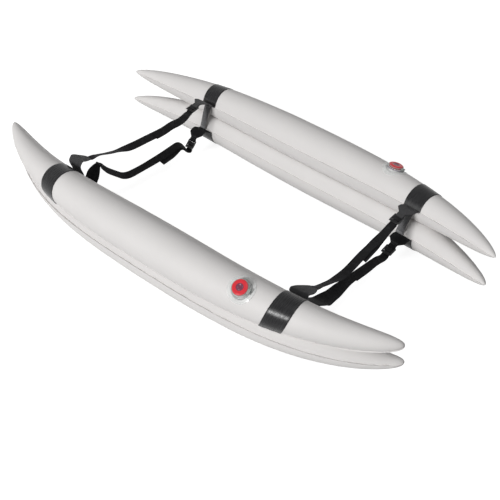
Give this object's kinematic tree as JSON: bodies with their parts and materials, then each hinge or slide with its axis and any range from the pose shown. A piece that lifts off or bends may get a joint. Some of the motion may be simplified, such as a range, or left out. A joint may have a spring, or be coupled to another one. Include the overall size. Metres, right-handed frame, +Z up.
{
  "type": "paddleboard stabilizer",
  "caption": "Pair of banana-shaped twin-tube inflatable outrigger floats joined by adjustable webbing straps with ladder lock buckles, with a screw valve on each float.",
  "frame": {"origin": "on the ground under the middle of the whole, midway between the floats and halfway along them", "axes": "+X along the floats towards the end that carries the valves, +Y from the near float to the far one, +Z up"},
  "size_m": [1.5263, 0.8302, 0.2329],
  "materials": {
    "tube": "satin warm white heavy-gauge vinyl, welded along both sides",
    "band": "glossy black coated patch",
    "tie": "grey woven webbing",
    "tab": "charcoal woven webbing, box stitched",
    "strap": "black woven polyester webbing",
    "buckle": "black moulded acetal",
    "valve_flange": "clear soft vinyl",
    "valve_insert": "pale grey moulded plastic",
    "valve_cap": "red moulded plastic with a purple centre",
    "valve_seal": "dark purple rubber",
    "valve_flap": "dark purple rubber",
    "valve_tether": "grey-green soft vinyl"
  },
  "bodies": {
    "near_float": {"near_upper_tube": "tube", "near_lower_tube": "tube", "near_left_tie": "tie", "near_upper_left_band": "band", "near_upper_left_tab": "tab", "near_lower_left_band": "band", "near_lower_left_tab": "tab", "near_right_tie": "tie", "near_upper_right_band": "band", "near_upper_right_tab": "tab", "near_lower_right_band": "band", "near_lower_right_tab": "tab", "near_valve_flange": "valve_flange", "near_valve_seal": "valve_seal", "upper_left_strap": "strap", "lower_left_strap": "strap", "upper_right_strap": "strap", "lower_right_strap": "strap"},
    "far_float": {"far_upper_tube": "tube", "far_lower_tube": "tube", "far_left_tie": "tie", "far_upper_left_band": "band", "far_upper_left_tab": "tab", "far_lower_left_band": "band", "far_lower_left_tab": "tab", "far_right_tie": "tie", "far_upper_right_band": "band", "far_upper_right_tab": "tab", "far_lower_right_band": "band", "far_lower_right_tab": "tab", "far_valve_flange": "valve_flange", "far_valve_seal": "valve_seal"},
    "upper_left_lock": {"upper_left_buckle": "buckle"},
    "lower_left_lock": {"lower_left_buckle": "buckle"},
    "upper_right_lock": {"upper_right_buckle": "buckle"},
    "lower_right_lock": {"lower_right_buckle": "buckle"},
    "near_insert": {"near_valve_insert": "valve_insert", "near_valve_flap": "valve_flap"},
    "near_cap": {"near_valve_cap": "valve_cap", "near_valve_tether": "valve_tether"},
    "far_insert": {"far_valve_insert": "valve_insert", "far_valve_flap": "valve_flap"},
    "far_cap": {"far_valve_cap": "valve_cap", "far_valve_tether": "valve_tether"}
  },
  "joints": [
    {"name": "float_spacing", "type": "slide", "parent": "near_float", "child": "far_float", "axis": [0, 1, 0], "range_m": [-0.2, 0.12], "deforming": ["upper_left_strap", "lower_left_strap", "upper_right_strap", "lower_right_strap"]},
    {"name": "upper_left_lip_lift", "type": "hinge", "parent": "far_float", "child": "upper_left_lock", "pos_m": [-0.39793, 0.22332, 0.19312], "axis": [-1, -0.0009, 0.0064], "range_deg": [-30, 50]},
    {"name": "lower_left_lip_lift", "type": "hinge", "parent": "far_float", "child": "lower_left_lock", "pos_m": [-0.39854, 0.20321, 0.06314], "axis": [-1, -0.0029, 0.0032], "range_deg": [-30, 50]},
    {"name": "upper_right_lip_lift", "type": "hinge", "parent": "far_float", "child": "upper_right_lock", "pos_m": [0.46542, 0.20357, 0.17081], "axis": [-0.9952, 0.0968, -0.0121], "range_deg": [-30, 50]},
    {"name": "lower_right_lip_lift", "type": "hinge", "parent": "far_float", "child": "lower_right_lock", "pos_m": [0.46481, 0.18445, 0.06582], "axis": [-0.9952, 0.0977, -0.0114], "range_deg": [-30, 50]},
    {"name": "near_insert_unscrew", "type": "hinge", "parent": "near_float", "child": "near_insert", "pos_m": [0.36114, -0.35832, 0.20768], "axis": [0.0916, -0.5297, 0.8432], "range_deg": [0, 720]},
    {"name": "near_cap_unscrew", "type": "hinge", "parent": "near_insert", "child": "near_cap", "pos_m": [0.36114, -0.35832, 0.20768], "axis": [0.0916, -0.5297, 0.8432], "range_deg": [0, 450]},
    {"name": "far_insert_unscrew", "type": "hinge", "parent": "far_float", "child": "far_insert", "pos_m": [0.34902, 0.34401, 0.21505], "axis": [0.0622, 0.2703, 0.9608], "range_deg": [0, 720]},
    {"name": "far_cap_unscrew", "type": "hinge", "parent": "far_insert", "child": "far_cap", "pos_m": [0.34902, 0.34401, 0.21505], "axis": [0.0622, 0.2703, 0.9608], "range_deg": [0, 450]}
  ]
}
